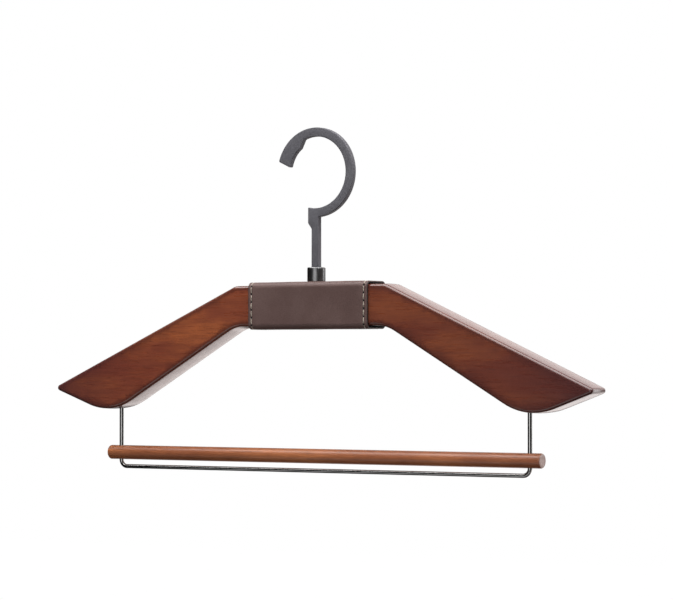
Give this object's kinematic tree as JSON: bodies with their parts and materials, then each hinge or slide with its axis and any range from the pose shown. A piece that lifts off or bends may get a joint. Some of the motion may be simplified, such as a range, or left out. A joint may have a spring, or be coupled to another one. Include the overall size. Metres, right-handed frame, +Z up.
{
  "type": "clothes hanger",
  "caption": "Wooden suit hanger with sloping arms, a leather-wrapped centre, a flat swivel hook, and a round trouser bar that slides on a wire bail.",
  "frame": {"origin": "point inside the top of the hook where a clothes rail touches it, on the swivel axis and midway through the plate's thickness", "axes": "+X along the arms towards the arm that the hook's closed side faces, +Y towards the back, +Z up along the swivel axis"},
  "size_m": [0.4398, 0.026, 0.2405],
  "materials": {
    "hook_metal": "satin gunmetal grey coat on a zinc casting",
    "collar_black": "gloss black",
    "zinc_steel": "zinc plated",
    "bush_brass": "turned",
    "block_wood": "planed, unfinished",
    "arm_wood": "red-brown stain with darker edges under satin lacquer",
    "dowel_wood": "unfinished beech",
    "lining_fibre": "stiff black fibre",
    "sleeve_leather": "smooth grey-brown leather",
    "thread": "waxed cream thread",
    "bail_wire": "polished dark nickel",
    "bar_wood": "red-brown stain under satin lacquer"
  },
  "bodies": {
    "hook_body": {"hook": "hook_metal", "collar": "collar_black", "lock_nut": "zinc_steel"},
    "hanger_body": {"swivel_bush": "bush_brass", "thrust_washer": "zinc_steel", "centre_block": "block_wood", "left_arm": "arm_wood", "right_arm": "arm_wood", "left_dowels": "dowel_wood", "right_dowels": "dowel_wood", "sleeve_lining": "lining_fibre", "leather_sleeve": "sleeve_leather", "left_stitches": "thread", "right_stitches": "thread", "seam_stitches": "thread", "bail": "bail_wire"},
    "bar_body": {"trouser_bar": "bar_wood"}
  },
  "joints": [
    {"name": "hook_swivel", "type": "hinge", "parent": "hook_body", "child": "hanger_body", "pos_m": [0, 0, -0.1134], "axis": [0, 0, 1], "continuous": true},
    {"name": "bar_slide", "type": "slide", "parent": "hanger_body", "child": "bar_body", "axis": [0, 0, 1], "range_m": [0, 0.026]}
  ]
}
